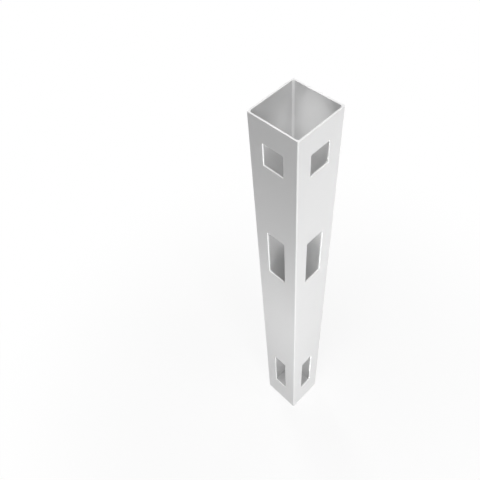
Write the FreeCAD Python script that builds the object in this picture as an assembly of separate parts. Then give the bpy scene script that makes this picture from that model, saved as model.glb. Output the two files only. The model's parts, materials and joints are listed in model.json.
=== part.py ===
import FreeCAD, Part
import math
import os
from collections import namedtuple

from FreeCAD import Vector

# A vinyl fence post for the corner of a fence: one extruded square tube, sawn square and open at both ends.
# Three rail pockets are routed through each of two adjoining walls, at the same heights, so that the rails
# of two runs meet inside it at a right angle.
# Millimetres, +Z up. The origin is at the middle of the lower end. The routed walls face -Y and +X.

# The tube
post_side = 127.0            # across the outside, wall to wall
post_length = 1372.0
wall = 3.8
outer_corner_radius = 3.0
inner_corner_radius = 5.0    # the die leaves more plastic in the inside corners

# The rail pockets
upper_pocket_width = 54.0
upper_pocket_height = 60.0
middle_pocket_width = 54.0
middle_pocket_height = 166.0
lower_pocket_width = 46.0
lower_pocket_height = 210.0
upper_pocket_drop = 57.0     # from the upper end down to the upper pocket
middle_pocket_drop = 219.0   # from the upper pocket down to the middle one
lower_pocket_sill = 126.0    # from the lower end up to the lower pocket
router_radius = 3.0          # left by the round cutter in a pocket's corners

# The finish of the cuts
edge_break = 0.5             # sawn and routed edges are scraped to a small bevel

# Where each pocket is, as the height of its sill above the lower end
Pocket = namedtuple("Pocket", "sill height width")
upper_pocket_sill = post_length - upper_pocket_drop - upper_pocket_height
middle_pocket_sill = upper_pocket_sill - middle_pocket_drop - middle_pocket_height
pockets = [
    Pocket(upper_pocket_sill, upper_pocket_height, upper_pocket_width),
    Pocket(middle_pocket_sill, middle_pocket_height, middle_pocket_width),
    Pocket(lower_pocket_sill, lower_pocket_height, lower_pocket_width),
]

# The turn about the post's axis that brings the wall facing -Y to each routed wall
routed_wall_turns = [0.0, 90.0]

origin = Vector(0, 0, 0)
up = Vector(0, 0, 1)


def rounded_rectangle(width, height, radius):
    """A face in the XY plane round the origin, with an arc at each corner."""
    arc_centres = [
        Vector(width / 2 - radius, height / 2 - radius, 0),
        Vector(radius - width / 2, height / 2 - radius, 0),
        Vector(radius - width / 2, radius - height / 2, 0),
        Vector(width / 2 - radius, radius - height / 2, 0),
    ]
    arcs = []
    for quarter, centre in enumerate(arc_centres):
        start = quarter * math.pi / 2
        arcs.append(Part.Arc(Part.Circle(centre, up, radius), start, start + math.pi / 2).toShape())
    edges = []
    for arc, next_arc in zip(arcs, arcs[1:] + arcs[:1]):
        edges.append(arc)
        edges.append(Part.makeLine(arc.Vertexes[-1].Point, next_arc.Vertexes[0].Point))
    return Part.Face(Part.Wire(edges))


def square_tube():
    """The extrusion, before anything is cut in it."""
    inside = post_side - 2 * wall
    section = rounded_rectangle(post_side, post_side, outer_corner_radius)
    section = section.cut(rounded_rectangle(inside, inside, inner_corner_radius))
    return section.extrude(up * post_length)


def pocket_cut(pocket):
    """What the router takes out of the wall facing -Y. It runs a wall's thickness past both faces."""
    cut = rounded_rectangle(pocket.width, pocket.height, router_radius)
    cut.rotate(origin, Vector(1, 0, 0), 90)
    cut.translate(Vector(0, -post_side / 2 - wall, pocket.sill + pocket.height / 2))
    return cut.extrude(Vector(0, 3 * wall, 0))


def routed_tube():
    """The tube with every pocket cut through its routed walls."""
    cuts = []
    for turn in routed_wall_turns:
        for pocket in pockets:
            cut = pocket_cut(pocket)
            cut.rotate(origin, up, turn)
            cuts.append(cut)
    return square_tube().cut(cuts)


def is_cut_edge(edge):
    """True for an edge left by the saw, round either end, or by the router, round a pocket on the outside."""
    box = edge.BoundBox
    tolerance = 1e-4
    at_an_end = box.ZMax < tolerance or box.ZMin > post_length - tolerance
    on_a_side = min(abs(box.YMax + post_side / 2), abs(box.XMin - post_side / 2)) < tolerance
    flat_on_it = min(box.YLength, box.XLength) < tolerance
    along_the_post = box.ZLength > post_length - tolerance
    return at_an_end or (on_a_side and flat_on_it and not along_the_post)


def corner_post():
    """The finished post, with its sawn and routed edges broken."""
    post = routed_tube()
    cut_edges = [edge for edge in post.Edges if is_cut_edge(edge)]
    return post.makeChamfer(edge_break, cut_edges)


os.makedirs("parts", exist_ok=True)
post = corner_post()
post.exportStep("parts/corner_post.step")

print("corner_post: valid", post.isValid(), "solids", len(post.Solids), "faces", len(post.Faces))
print("volume", round(post.Volume / 1000, 1), "cm3, box", post.BoundBox)
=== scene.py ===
import json
import math

import bpy
from mathutils import Matrix, Vector


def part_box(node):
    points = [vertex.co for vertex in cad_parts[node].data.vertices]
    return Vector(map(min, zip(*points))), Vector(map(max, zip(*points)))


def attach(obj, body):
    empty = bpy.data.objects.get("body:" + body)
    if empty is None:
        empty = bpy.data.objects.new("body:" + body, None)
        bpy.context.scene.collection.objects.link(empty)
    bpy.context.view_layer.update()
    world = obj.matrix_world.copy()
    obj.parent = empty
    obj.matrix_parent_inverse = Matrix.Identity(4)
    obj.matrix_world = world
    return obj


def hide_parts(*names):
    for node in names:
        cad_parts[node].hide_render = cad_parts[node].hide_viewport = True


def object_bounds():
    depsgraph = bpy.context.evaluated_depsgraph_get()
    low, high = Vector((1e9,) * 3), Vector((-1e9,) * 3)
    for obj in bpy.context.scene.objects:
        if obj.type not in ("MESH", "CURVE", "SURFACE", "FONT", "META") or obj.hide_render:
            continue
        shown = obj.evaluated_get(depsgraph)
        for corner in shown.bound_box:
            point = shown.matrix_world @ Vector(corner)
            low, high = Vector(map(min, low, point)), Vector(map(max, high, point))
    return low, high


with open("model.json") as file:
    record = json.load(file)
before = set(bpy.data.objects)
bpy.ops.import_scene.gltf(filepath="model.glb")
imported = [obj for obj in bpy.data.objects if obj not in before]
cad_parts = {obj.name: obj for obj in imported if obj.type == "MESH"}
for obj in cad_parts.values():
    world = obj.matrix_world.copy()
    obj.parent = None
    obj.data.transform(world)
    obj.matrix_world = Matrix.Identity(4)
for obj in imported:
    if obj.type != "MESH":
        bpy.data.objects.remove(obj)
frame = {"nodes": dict(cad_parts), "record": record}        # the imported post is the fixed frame
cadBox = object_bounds()
scene = bpy.context.scene
print("frame: loaded", ", ".join(frame["nodes"]))

# A routed vinyl post for the corner of a fence, standing on its lower end. Metres, +Z up.
# The two walls with rail pockets face -Y and +X, and the ridge between them faces the camera.


def addNode(tree, kind, **settings):
    node = tree.nodes.new(kind)
    for name, value in settings.items():
        setattr(node, name, value)
    return node


def feed(tree, socket, value):
    # A number is set on the socket, and anything else is linked to it
    if isinstance(value, (bool, int, float)):
        socket.default_value = value
    else:
        tree.links.new(value, socket)


def calculate(tree, operation, first, second=0.0):
    node = addNode(tree, "ShaderNodeMath", operation=operation)
    feed(tree, node.inputs[0], first)
    feed(tree, node.inputs[1], second)
    return node.outputs["Value"]


def combine(tree, x=0.0, y=0.0, z=0.0):
    node = addNode(tree, "ShaderNodeCombineXYZ")
    for name, value in (("X", x), ("Y", y), ("Z", z)):
        feed(tree, node.inputs[name], value)
    return node.outputs["Vector"]


def separate(tree, vector):
    node = addNode(tree, "ShaderNodeSeparateXYZ")
    tree.links.new(vector, node.inputs["Vector"])
    return node.outputs


def addNoise(tree, place, perMetre, detail):
    node = addNode(tree, "ShaderNodeTexNoise", noise_dimensions="3D")
    tree.links.new(place, node.inputs["Vector"])
    feed(tree, node.inputs["Scale"], perMetre)
    node.inputs["Detail"].default_value = detail
    return node


def startGroup(name, kind, inputs, outputs):
    tree = bpy.data.node_groups.new(name, kind)
    for label, socketKind in inputs.items():
        tree.interface.new_socket(name=label, in_out="INPUT", socket_type="NodeSocket" + socketKind)
    for label, socketKind in outputs.items():
        tree.interface.new_socket(name=label, in_out="OUTPUT", socket_type="NodeSocket" + socketKind)
    return tree, tree.nodes.new("NodeGroupInput").outputs, tree.nodes.new("NodeGroupOutput").inputs


def startMaterial(name):
    material = bpy.data.materials.new(name)
    material.use_nodes = True
    tree = material.node_tree
    tree.nodes.clear()
    output = addNode(tree, "ShaderNodeOutputMaterial")
    return material, tree, output.inputs["Surface"]


# The vinyl: the outer skin, the inside as it left the die, and what the saw and the router have cut
vinyl = {
    "ior": 1.53,
    "mottlePerMetre": 38.0,
    "glossPerMetre": 90.0,
    "glossSharpness": 0.65,         # how much of the gloss's change is in its small spots
    "ripplesPerMetre": 14.0,
    "rippleStretch": 0.35,          # along the post, where less is longer
    "dieLineStretch": 0.003,
    "cornerHighlightTurn": (0.05, 0.35),     # where a rounded corner's painted highlight begins and is full
    "skin": {
        "colour": (0.84, 0.84, 0.84, 1.0),
        "cornerHighlightColour": (0.96, 0.96, 0.96, 1.0),    # painted highlight: the rounded corners are whiter
        "mottle": 0.012,            # how far the colour wanders
        "roughness": 0.30,
        "roughnessSpread": 0.07,
        "grainPerMetre": 650.0,
        "grainHeight": 0.000006,
        "dieLinesPerMetre": 700.0,  # faint lines that the die draws along the post
        "dieLineHeight": 0.000008,
        "rippleHeight": 0.00012,    # the slow waviness of a cooled wall
    },
    "inside": {                     # greyer than the skin: partly a duller core under the skin, partly painted shade inside the tube
        "colour": (0.76, 0.76, 0.76, 1.0),
        # painted highlight along the rounded inside corners
        "cornerHighlightColour": (0.95, 0.95, 0.95, 1.0),
        "mottle": 0.02,
        "roughness": 0.38,
        "roughnessSpread": 0.10,
        "grainPerMetre": 420.0,
        "grainHeight": 0.000012,
        "dieLinesPerMetre": 420.0,
        "dieLineHeight": 0.000018,
        "rippleHeight": 0.0002,
    },
    "cut": {
        # whiter than the skin: partly the cut plastic's own whiteness, partly a painted highlight along the sawn
        # and routed edges
        "colour": (0.97, 0.97, 0.97, 1.0),
        "mottle": 0.03,
        "roughness": 0.58,
        "roughnessSpread": 0.12,
        "grainPerMetre": 1400.0,
        "grainHeight": 0.000014,
        "marksPerMetre": 800.0,     # from the teeth of the saw and the flutes of the router
        "markHeight": 0.00002,
        "sawCentre": (-0.24, 0.17, 0.0),
        "leftWallBehind": -0.059,   # a routed face of the left wall lies below this Y
    },
}


def makeVinylGrain():
    tree, given, result = startGroup(
        "vinylGrain", "ShaderNodeTree",
        {"Colour": "Color", "Mottle": "Float", "Roughness": "Float", "Roughness Spread": "Float",
         "Grain Per Metre": "Float"},
        {"Colour": "Color", "Roughness": "Float", "Grain": "Float"})
    place = addNode(tree, "ShaderNodeTexCoord").outputs["Object"]

    clouds = addNoise(tree, place, vinyl["mottlePerMetre"], 4.0)
    wander = calculate(tree, "SUBTRACT", clouds.outputs["Fac"], 0.5)
    shade = calculate(tree, "ADD", calculate(tree, "MULTIPLY", wander, given["Mottle"]), 1.0)
    tint = addNode(tree, "ShaderNodeVectorMath", operation="SCALE")
    tree.links.new(given["Colour"], tint.inputs["Vector"])
    tree.links.new(shade, tint.inputs["Scale"])
    tree.links.new(tint.outputs["Vector"], result["Colour"])

    handling = addNoise(tree, place, vinyl["glossPerMetre"], 5.0)
    handling.inputs["Roughness"].default_value = vinyl["glossSharpness"]
    gloss = calculate(tree, "SUBTRACT", handling.outputs["Fac"], 0.5)
    gloss = calculate(tree, "MULTIPLY", gloss, given["Roughness Spread"])
    tree.links.new(calculate(tree, "ADD", gloss, given["Roughness"]), result["Roughness"])

    grain = addNoise(tree, place, given["Grain Per Metre"], 2.0)
    tree.links.new(grain.outputs["Fac"], result["Grain"])
    return tree


def makeDrawnFinishAndCornerHighlight():
    # What the die leaves on the walls that it draws, and a painted highlight on the rounded corners between them
    tree, given, result = startGroup(
        "drawnFinishAndCornerHighlight", "ShaderNodeTree",
        {"Colour": "Color", "Corner Highlight Colour": "Color", "Lines Per Metre": "Float"},
        {"Colour": "Color", "Lines": "Float", "Ripple": "Float"})
    where = addNode(tree, "ShaderNodeTexCoord").outputs

    # Painted highlight: where the normal turns between X and Y, on a rounded corner, the colour goes whiter
    facing = separate(tree, where["Normal"])
    across = calculate(tree, "ABSOLUTE", calculate(tree, "MULTIPLY", facing["X"], facing["Y"]))
    corner = addNode(tree, "ShaderNodeMapRange", interpolation_type="SMOOTHSTEP")
    tree.links.new(across, corner.inputs["Value"])
    corner.inputs["From Min"].default_value, corner.inputs["From Max"].default_value = vinyl["cornerHighlightTurn"]
    cornerHighlightMix = addNode(tree, "ShaderNodeMix", data_type="RGBA")
    tree.links.new(corner.outputs["Result"], cornerHighlightMix.inputs["Factor"])
    tree.links.new(given["Colour"], cornerHighlightMix.inputs["A"])
    tree.links.new(given["Corner Highlight Colour"], cornerHighlightMix.inputs["B"])
    tree.links.new(cornerHighlightMix.outputs["Result"], result["Colour"])

    drawn = addNode(tree, "ShaderNodeMapping")
    drawn.inputs["Scale"].default_value = (1.0, 1.0, vinyl["dieLineStretch"])
    tree.links.new(where["Object"], drawn.inputs["Vector"])
    lines = addNoise(tree, drawn.outputs["Vector"], given["Lines Per Metre"], 3.0)
    tree.links.new(lines.outputs["Fac"], result["Lines"])

    slow = addNode(tree, "ShaderNodeMapping")
    slow.inputs["Scale"].default_value = (1.0, 1.0, vinyl["rippleStretch"])
    tree.links.new(where["Object"], slow.inputs["Vector"])
    ripple = addNoise(tree, slow.outputs["Vector"], vinyl["ripplesPerMetre"], 1.0)
    tree.links.new(ripple.outputs["Fac"], result["Ripple"])
    return tree


def addVinylGrain(tree, finish):
    node = addNode(tree, "ShaderNodeGroup", node_tree=vinylGrain)
    node.inputs["Colour"].default_value = finish["colour"]
    node.inputs["Mottle"].default_value = finish["mottle"]
    node.inputs["Roughness"].default_value = finish["roughness"]
    node.inputs["Roughness Spread"].default_value = finish["roughnessSpread"]
    node.inputs["Grain Per Metre"].default_value = finish["grainPerMetre"]
    return node


def addBump(tree, height, distance, below=None):
    node = addNode(tree, "ShaderNodeBump")
    node.inputs["Distance"].default_value = distance
    tree.links.new(height, node.inputs["Height"])
    if below is not None:
        tree.links.new(below, node.inputs["Normal"])
    return node.outputs["Normal"]


def addVinylShader(tree, surface, grain, normal):
    shader = addNode(tree, "ShaderNodeBsdfPrincipled")
    shader.inputs["IOR"].default_value = vinyl["ior"]
    tree.links.new(grain.outputs["Colour"], shader.inputs["Base Color"])
    tree.links.new(grain.outputs["Roughness"], shader.inputs["Roughness"])
    tree.links.new(normal, shader.inputs["Normal"])
    tree.links.new(shader.outputs["BSDF"], surface)


def makeDrawnVinyl(name, finish):
    material, tree, surface = startMaterial(name)
    # The drawn finish, with its painted highlight on the rounded corners
    drawn = addNode(tree, "ShaderNodeGroup", node_tree=drawnFinishAndCornerHighlight)
    drawn.inputs["Colour"].default_value = finish["colour"]
    drawn.inputs["Corner Highlight Colour"].default_value = finish["cornerHighlightColour"]
    drawn.inputs["Lines Per Metre"].default_value = finish["dieLinesPerMetre"]
    grain = addVinylGrain(tree, finish)
    tree.links.new(drawn.outputs["Colour"], grain.inputs["Colour"])
    normal = addBump(tree, drawn.outputs["Ripple"], finish["rippleHeight"])
    normal = addBump(tree, drawn.outputs["Lines"], finish["dieLineHeight"], normal)
    normal = addBump(tree, grain.outputs["Grain"], finish["grainHeight"], normal)
    addVinylShader(tree, surface, grain, normal)
    return material


def makeCutVinyl(name, finish):
    material, tree, surface = startMaterial(name)
    grain = addVinylGrain(tree, finish)
    place = addNode(tree, "ShaderNodeTexCoord").outputs["Object"]

    # The saw's marks are arcs around its centre, and the router's cross each routed face
    fromSaw = addNode(tree, "ShaderNodeVectorMath", operation="DISTANCE")
    tree.links.new(place, fromSaw.inputs[0])
    fromSaw.inputs[1].default_value = finish["sawCentre"]
    along = separate(tree, place)
    isLeftWall = calculate(tree, "LESS_THAN", along["Y"], finish["leftWallBehind"])
    level = addNode(tree, "ShaderNodeMix", data_type="FLOAT")
    tree.links.new(isLeftWall, level.inputs["Factor"])
    tree.links.new(along["Y"], level.inputs["A"])
    tree.links.new(along["X"], level.inputs["B"])
    sawn = addNode(tree, "ShaderNodeAttribute", attribute_name="sawn")
    travel = addNode(tree, "ShaderNodeMix", data_type="FLOAT")
    tree.links.new(sawn.outputs["Fac"], travel.inputs["Factor"])
    tree.links.new(calculate(tree, "ADD", level.outputs["Result"], along["Z"]), travel.inputs["A"])
    tree.links.new(fromSaw.outputs["Value"], travel.inputs["B"])
    marks = addNode(tree, "ShaderNodeTexNoise", noise_dimensions="1D")
    marks.inputs["Scale"].default_value = finish["marksPerMetre"]
    marks.inputs["Detail"].default_value = 2.0
    tree.links.new(travel.outputs["Result"], marks.inputs["W"])

    normal = addBump(tree, marks.outputs["Fac"], finish["markHeight"])
    normal = addBump(tree, grain.outputs["Grain"], finish["grainHeight"], normal)
    addVinylShader(tree, surface, grain, normal)
    return material


vinylGrain = makeVinylGrain()
drawnFinishAndCornerHighlight = makeDrawnFinishAndCornerHighlight()
skin = makeDrawnVinyl("vinylSkin", vinyl["skin"])
inside = makeDrawnVinyl("vinylInside", vinyl["inside"])
cut = makeCutVinyl("vinylCut", vinyl["cut"])
print("materials:", skin.name, inside.name, cut.name)


# The post
post = {
    "node": "corner_post",
    "wall": 0.0038,
    "outerRadius": 0.003,
    "innerRadius": 0.005,       # more plastic in the inside corners
    "cutterRadius": 0.003,      # the router's bit, in a pocket's corners
    "pocketSizes": {            # width and height
        "upper_pocket": (0.054, 0.060),
        "middle_pocket": (0.054, 0.166),
        "lower_pocket": (0.046, 0.210),
    },
    "edgeRound": 0.0005,        # sawn and routed edges, scraped
    "edgeSteps": 3,
    "edgeAngle": math.radians(40),      # an edge that turns more than this is rounded
    "cornerSteps": 10,
}


def pocketPlaces():
    # One vertex for each pocket, at the middle of its mouth, with the pocket's size and the way that it faces
    places = []
    for mount in frame["record"]["mounts"]:
        for name, size in post["pocketSizes"].items():
            if mount["name"].startswith(name):
                outward = Vector(mount["axis"])
                turn = math.atan2(outward.x, -outward.y)
                places.append((Vector(mount["pos_m"]), size, turn))
    mesh = bpy.data.meshes.new("pocketPlaces")
    mesh.from_pydata([place for place, size, turn in places], [], [])
    columns = {
        "pocketWidth": [size[0] for place, size, turn in places],
        "pocketHeight": [size[1] for place, size, turn in places],
        "pocketTurn": [turn for place, size, turn in places],
    }
    for name, values in columns.items():
        mesh.attributes.new(name, "FLOAT", "POINT").data.foreach_set("value", values)
    return mesh


def roundedSquare(tree, width, height, radius, steps):
    # A closed curve in the XY plane
    outline = addNode(tree, "GeometryNodeCurvePrimitiveQuadrilateral", mode="RECTANGLE")
    tree.links.new(width, outline.inputs["Width"])
    tree.links.new(height, outline.inputs["Height"])
    rounded = addNode(tree, "GeometryNodeFilletCurve", mode="POLY")
    tree.links.new(outline.outputs["Curve"], rounded.inputs["Curve"])
    tree.links.new(radius, rounded.inputs["Radius"])
    tree.links.new(steps, rounded.inputs["Count"])
    return rounded.outputs["Curve"]


def sweepUp(tree, section, low, high):
    # A closed bar of that section, from one height to the other
    spine = addNode(tree, "GeometryNodeCurvePrimitiveLine", mode="POINTS")
    tree.links.new(combine(tree, z=low), spine.inputs["Start"])
    tree.links.new(combine(tree, z=high), spine.inputs["End"])
    bar = addNode(tree, "GeometryNodeCurveToMesh")
    tree.links.new(spine.outputs["Curve"], bar.inputs["Curve"])
    tree.links.new(section, bar.inputs["Profile Curve"])
    bar.inputs["Fill Caps"].default_value = True
    return bar.outputs["Mesh"]


def tagFaces(tree, geometry, name, value):
    tag = addNode(tree, "GeometryNodeStoreNamedAttribute", data_type="FLOAT", domain="FACE")
    tag.inputs["Name"].default_value = name
    tree.links.new(geometry, tag.inputs["Geometry"])
    feed(tree, tag.inputs["Value"], value)
    return tag.outputs["Geometry"]


def readNumber(tree, name):
    node = addNode(tree, "GeometryNodeInputNamedAttribute", data_type="FLOAT")
    node.inputs["Name"].default_value = name
    return node.outputs["Attribute"]


def setFinish(tree, geometry, material, chosen):
    node = addNode(tree, "GeometryNodeSetMaterial")
    tree.links.new(geometry, node.inputs["Geometry"])
    tree.links.new(material, node.inputs["Material"])
    feed(tree, node.inputs["Selection"], chosen)
    return node.outputs["Geometry"]


def routerCuts(tree, places, wall, radius, steps):
    # One bar for each pocket place, as wide and high as the pocket, through its wall
    zoneIn = addNode(tree, "GeometryNodeForeachGeometryElementInput")
    zoneOut = addNode(tree, "GeometryNodeForeachGeometryElementOutput", domain="POINT")
    zoneIn.pair_with_output(zoneOut)
    for name in ("Width", "Height", "Turn"):
        zoneOut.input_items.new("FLOAT", name)
    zoneOut.input_items.new("VECTOR", "Place")
    tree.links.new(places, zoneIn.inputs["Geometry"])
    tree.links.new(readNumber(tree, "pocketWidth"), zoneIn.inputs["Width"])
    tree.links.new(readNumber(tree, "pocketHeight"), zoneIn.inputs["Height"])
    tree.links.new(readNumber(tree, "pocketTurn"), zoneIn.inputs["Turn"])
    position = addNode(tree, "GeometryNodeInputPosition")
    tree.links.new(position.outputs["Position"], zoneIn.inputs["Place"])

    section = roundedSquare(tree, zoneIn.outputs["Width"], zoneIn.outputs["Height"], radius, steps)
    depth = calculate(tree, "MULTIPLY", wall, 2.0)
    bar = sweepUp(tree, section, calculate(tree, "MULTIPLY", depth, -1.0), depth)
    placed = addNode(tree, "GeometryNodeTransform", mode="COMPONENTS")
    tree.links.new(bar, placed.inputs["Geometry"])
    tree.links.new(combine(tree, x=math.pi / 2, z=zoneIn.outputs["Turn"]), placed.inputs["Rotation"])
    tree.links.new(zoneIn.outputs["Place"], placed.inputs["Translation"])
    tree.links.new(tagFaces(tree, placed.outputs["Geometry"], "routed", 1.0), zoneOut.inputs["Geometry"])
    return zoneOut.outputs[2]


def makeTubeTree():
    tree, given, result = startGroup(
        "routedTube", "GeometryNodeTree",
        {"Pocket Places": "Geometry", "Side": "Float", "Wall": "Float", "Length": "Float",
         "Outer Radius": "Float", "Inner Radius": "Float", "Cutter Radius": "Float", "Corner Steps": "Int",
         "Skin": "Material", "Inside": "Material", "Cut": "Material"},
        {"Geometry": "Geometry"})
    tree.is_modifier = True
    side, wall, length, steps = given["Side"], given["Wall"], given["Length"], given["Corner Steps"]

    bar = sweepUp(tree, roundedSquare(tree, side, side, given["Outer Radius"], steps), 0.0, length)
    normal = addNode(tree, "GeometryNodeInputNormal")
    upward = separate(tree, normal.outputs["Normal"])["Z"]
    isEnd = calculate(tree, "GREATER_THAN", calculate(tree, "ABSOLUTE", upward), 0.5)
    bar = tagFaces(tree, bar, "sawn", isEnd)

    bore = calculate(tree, "SUBTRACT", side, calculate(tree, "MULTIPLY", wall, 2.0))
    below = calculate(tree, "MULTIPLY", wall, -1.0)
    above = calculate(tree, "ADD", length, wall)
    hollow = sweepUp(tree, roundedSquare(tree, bore, bore, given["Inner Radius"], steps), below, above)
    hollow = tagFaces(tree, hollow, "inner", 1.0)
    cuts = routerCuts(tree, given["Pocket Places"], wall, given["Cutter Radius"], steps)

    routed = addNode(tree, "GeometryNodeMeshBoolean", operation="DIFFERENCE", solver="EXACT")
    tree.links.new(bar, routed.inputs["Mesh 1"])
    tree.links.new(hollow, routed.inputs["Mesh 2"])
    tree.links.new(cuts, routed.inputs["Mesh 2"])
    forget = addNode(tree, "GeometryNodeRemoveAttribute", pattern_mode="WILDCARD")
    forget.inputs["Name"].default_value = "pocket*"
    tree.links.new(routed.outputs["Mesh"], forget.inputs["Geometry"])

    real = addNode(tree, "GeometryNodeRealizeInstances")
    tree.links.new(forget.outputs["Geometry"], real.inputs["Geometry"])
    cutShare = calculate(tree, "ADD", readNumber(tree, "sawn"), readNumber(tree, "routed"))
    isInside = calculate(tree, "GREATER_THAN", readNumber(tree, "inner"), 0.5)
    isCut = calculate(tree, "GREATER_THAN", cutShare, 0.5)
    finished = setFinish(tree, real.outputs["Geometry"], given["Skin"], True)
    finished = setFinish(tree, finished, given["Inside"], isInside)
    finished = setFinish(tree, finished, given["Cut"], isCut)
    tree.links.new(finished, result["Geometry"])
    return tree


def makePost():
    low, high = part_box(post["node"])
    sizes = {
        "Side": high.x - low.x,
        "Wall": post["wall"],
        "Length": high.z - low.z,
        "Outer Radius": post["outerRadius"],
        "Inner Radius": post["innerRadius"],
        "Cutter Radius": post["cutterRadius"],
        "Corner Steps": post["cornerSteps"],
        "Skin": skin,
        "Inside": inside,
        "Cut": cut,
    }
    tree = makeTubeTree()
    holder = bpy.data.objects.new("postHolder", pocketPlaces())
    scene.collection.objects.link(holder)
    routing = holder.modifiers.new("routing", "NODES")
    routing.node_group = tree
    for item in tree.interface.items_tree:
        if item.in_out == "INPUT" and item.name in sizes:
            routing[item.identifier] = sizes[item.name]

    rounding = holder.modifiers.new("rounding", "BEVEL")
    rounding.width = post["edgeRound"]
    rounding.segments = post["edgeSteps"]
    rounding.limit_method = "ANGLE"
    rounding.angle_limit = post["edgeAngle"]
    rounding.use_clamp_overlap = False
    evening = holder.modifiers.new("evening", "WEIGHTED_NORMAL")
    evening.mode = "FACE_AREA"
    evening.keep_sharp = True

    evaluated = holder.evaluated_get(bpy.context.evaluated_depsgraph_get())
    mesh = bpy.data.meshes.new_from_object(evaluated)
    bpy.data.objects.remove(holder)
    mesh.name = "routedPost"
    mesh.materials.pop(index=list(mesh.materials).index(None))      # the empty slot of the uncut bar
    piece = bpy.data.objects.new("routedPost", mesh)
    scene.collection.objects.link(piece)
    return piece


piece = makePost()
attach(piece, "root")
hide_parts(post["node"])
print("post:", len(piece.data.vertices), "vertices,", len(piece.data.polygons), "faces")


# The floor and the white around it
floor = {
    "size": 14.0,
    "colour": (0.75, 0.75, 0.75, 1.0),
    "seenColour": (1.0, 1.0, 1.0, 1.0),
    "shadowShown": 0.15,        # how much of the floor's own light and shadow the camera sees, over plain white
    "shadowFades": (0.2, 1.3),  # from the post outwards, where the white takes over
    "roughness": 0.9,
    "shine": 0.1,
    "fibresPerMetre": 260.0,
    "fibreHeight": 0.00002,
    "fibreShade": (0.99, 1.01),
}


def seenRays(tree):
    # 1 where the camera sees the surface, by itself or in a gloss or through something clear
    rays = addNode(tree, "ShaderNodeLightPath").outputs
    seen = calculate(tree, "MAXIMUM", rays["Is Camera Ray"], rays["Is Glossy Ray"])
    return calculate(tree, "MAXIMUM", seen, rays["Is Transmission Ray"])


def makeFloor():
    half = floor["size"] / 2
    mesh = bpy.data.meshes.new("studioFloor")
    mesh.from_pydata([(-half, -half, 0), (half, -half, 0), (half, half, 0), (-half, half, 0)], [], [(0, 1, 2, 3)])
    sheet = bpy.data.objects.new("studioFloor", mesh)
    scene.collection.objects.link(sheet)

    material, tree, surface = startMaterial("studioPaper")
    place = addNode(tree, "ShaderNodeTexCoord").outputs["Object"]
    fibres = addNoise(tree, place, floor["fibresPerMetre"], 4.0)
    tone = addNode(tree, "ShaderNodeMapRange")
    tree.links.new(fibres.outputs["Fac"], tone.inputs["Value"])
    tone.inputs["To Min"].default_value, tone.inputs["To Max"].default_value = floor["fibreShade"]
    across = separate(tree, place)
    reachX = calculate(tree, "ABSOLUTE", across["X"])
    reachY = calculate(tree, "ABSOLUTE", across["Y"])
    reach = calculate(tree, "MAXIMUM", reachX, reachY)
    isOutside = calculate(tree, "GREATER_THAN", reach, cadBox[1][0] - post["wall"] / 2)
    brightened = calculate(tree, "MULTIPLY", seenRays(tree), isOutside)     # not where it shows through the pockets
    colour = addNode(tree, "ShaderNodeMix", data_type="RGBA")
    tree.links.new(brightened, colour.inputs["Factor"])
    colour.inputs["A"].default_value = floor["colour"]
    colour.inputs["B"].default_value = floor["seenColour"]
    tint = addNode(tree, "ShaderNodeVectorMath", operation="SCALE")
    tree.links.new(colour.outputs["Result"], tint.inputs["Vector"])
    tree.links.new(tone.outputs["Result"], tint.inputs["Scale"])
    paper = addNode(tree, "ShaderNodeBsdfPrincipled")
    paper.inputs["Roughness"].default_value = floor["roughness"]
    paper.inputs["Specular IOR Level"].default_value = floor["shine"]
    tree.links.new(tint.outputs["Vector"], paper.inputs["Base Color"])
    tree.links.new(addBump(tree, fibres.outputs["Fac"], floor["fibreHeight"]), paper.inputs["Normal"])

    white = addNode(tree, "ShaderNodeEmission")
    away = addNode(tree, "ShaderNodeVectorMath", operation="LENGTH")
    tree.links.new(place, away.inputs[0])
    whiteness = addNode(tree, "ShaderNodeMapRange", interpolation_type="SMOOTHSTEP")
    tree.links.new(away.outputs["Value"], whiteness.inputs["Value"])
    fadeFrom, fadeTo = floor["shadowFades"]
    whiteness.inputs["From Min"].default_value = fadeFrom
    whiteness.inputs["From Max"].default_value = fadeTo
    whiteness.inputs["To Min"].default_value = 1.0 - floor["shadowShown"]
    share = calculate(tree, "MULTIPLY", brightened, whiteness.outputs["Result"])
    mixed = addNode(tree, "ShaderNodeMixShader")
    tree.links.new(share, mixed.inputs["Fac"])
    tree.links.new(paper.outputs["BSDF"], mixed.inputs[1])
    tree.links.new(white.outputs["Emission"], mixed.inputs[2])
    tree.links.new(mixed.outputs["Shader"], surface)
    mesh.materials.append(material)
    return sheet


def makeSurround():
    world = bpy.data.worlds.new("studioSurround")
    scene.world = world
    world.use_nodes = True
    tree = world.node_tree
    tree.nodes.clear()
    glow = addNode(tree, "ShaderNodeBackground")
    glow.inputs["Color"].default_value = floor["seenColour"]
    tree.links.new(seenRays(tree), glow.inputs["Strength"])
    tree.links.new(glow.outputs["Background"], addNode(tree, "ShaderNodeOutputWorld").inputs["Surface"])


makeFloor()
makeSurround()
print("floor: laid, white around it")


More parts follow.
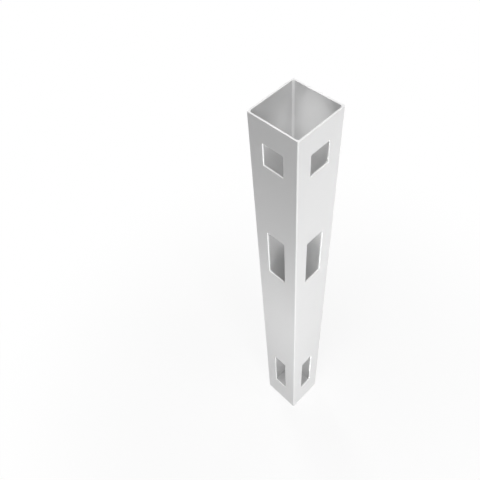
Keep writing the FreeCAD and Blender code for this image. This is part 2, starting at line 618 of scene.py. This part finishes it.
# The lamps, all hidden from the camera: soft boxes, with their width and height, and one spot, with its radius.
# The inside and edge ones are slim strips in the post's front corner, behind its pockets. Angles are in degrees.
lamps = {
    "keyBox": {
        "place": (3.122, -0.664, 0.923), "aim": (0.0, 0.0, 0.7),
        "size": (0.9, 0.9), "watts": 23.8,
    },
    "upperBox": {
        "place": (2.655, -0.966, 2.202), "aim": (0.0, 0.0, 0.7),
        "size": (0.9, 0.9), "watts": 17.8,
    },
    "highBox": {
        "place": (0.38, -0.84, 3.96), "aim": (0.0, 0.0, 0.9),
        "size": (0.8, 0.8), "watts": 33.0,
    },
    "openingBox": {
        "place": (-0.03, -0.05, 1.9), "aim": (0.0, 0.06, 1.25),
        "size": (0.06, 0.06), "watts": 1.2,
    },
    "openingSpot": {
        "place": (0.05, -0.43, 1.88), "aim": (-0.003, 0.06, 1.305),
        "radius": 0.015, "cone": 9.2, "watts": 11.2,
    },
    "pocketBox": {
        "place": (1.0, 0.35, 1.3), "aim": (0.0, 0.0, 0.85),
        "size": (0.3, 0.3), "watts": 2.6,
    },
    "sideLowBox": {
        "place": (1.3, -0.45, 0.25), "aim": (0.0, 0.0, 0.3),
        "size": (0.5, 0.3), "watts": 2.4,
    },
    "lowBox": {
        "place": (0.15, -0.66, 0.64), "aim": (0.0, 0.0, 0.6),
        "size": (0.6, 0.3), "watts": 1.56,
    },
    "backBox": {
        "place": (-3.0, 1.09, 0.92), "aim": (0.0, 0.0, 0.7),
        "size": (0.9, 0.9), "watts": 60.0,
    },
    "backSideBox": {
        "place": (-0.66, 3.12, 0.92), "aim": (0.0, 0.0, 0.7),
        "size": (0.9, 0.9), "watts": 14.0,
    },
    "insideLow": {
        "place": (0.05, -0.05, 0.23), "aim": (0.0, 0.0, 0.23),
        "size": (0.01, 0.38), "watts": 0.07,
    },
    "insideLeft": {
        "place": (0.052, -0.052, 0.99), "aim": (-0.06, -0.035, 0.99),
        "size": (0.006, 0.66), "spread": 80, "watts": 0.036,
    },
    "insideRight": {
        "place": (0.052, -0.052, 0.85), "aim": (0.035, 0.06, 0.85),
        "size": (0.006, 0.38), "spread": 80, "watts": 0.024,
    },
    "upperEdge": {
        "place": (0.05, -0.052, 1.285), "aim": (0.0615, 0.027, 1.285),
        "size": (0.004, 0.09), "spread": 30, "watts": 0.0018,
    },
    "middleEdge": {
        "place": (0.05, -0.052, 0.953), "aim": (0.0615, 0.027, 0.953),
        "size": (0.004, 0.2), "spread": 30, "watts": 0.0046,
    },
    "lowerEdge": {
        "place": (0.05, -0.052, 0.231), "aim": (0.0615, 0.027, 0.231),
        "size": (0.004, 0.24), "spread": 30, "watts": 0.0074,
    },
}


def makeLamp(name, settings):
    if "cone" in settings:
        lamp = bpy.data.lights.new(name, "SPOT")
        lamp.shadow_soft_size = settings["radius"]
        lamp.spot_size = math.radians(settings["cone"])
        lamp.spot_blend = 1.0       # fades right from its middle
    else:
        lamp = bpy.data.lights.new(name, "AREA")
        lamp.shape = "RECTANGLE"
        lamp.size, lamp.size_y = settings["size"]
        lamp.spread = math.radians(settings.get("spread", 180))
    lamp.energy = settings["watts"]
    holder = bpy.data.objects.new(name, lamp)
    holder.location = settings["place"]
    ahead = Vector(settings["aim"]) - holder.location
    holder.rotation_euler = ahead.to_track_quat("-Z", "Y").to_euler()
    holder.visible_camera = False
    scene.collection.objects.link(holder)


for name, settings in lamps.items():
    makeLamp(name, settings)
print("lamps:", ", ".join(lamps))


# The camera looks down on the ridge from in front and above, as in the photograph
view = {
    "place": (0.4947, -0.5575, 1.9880),
    "aim": (-0.0813, -0.1030, 0.9959),
    "roll": math.radians(-7.51),
    "lens": 38.5,
    "sensor": 36.0,
}


def makeCamera():
    eye = bpy.data.cameras.new("photoView")
    eye.lens = view["lens"]
    eye.sensor_width = view["sensor"]
    holder = bpy.data.objects.new("photoView", eye)
    place = Vector(view["place"])
    upright = (Vector(view["aim"]) - place).to_track_quat("-Z", "Y").to_matrix()
    rolled = upright @ Matrix.Rotation(view["roll"], 3, "Z")
    holder.matrix_world = Matrix.Translation(place) @ rolled.to_4x4()
    scene.collection.objects.link(holder)
    scene.camera = holder


makeCamera()
scene.view_settings.view_transform = "Standard"
print("camera: placed")
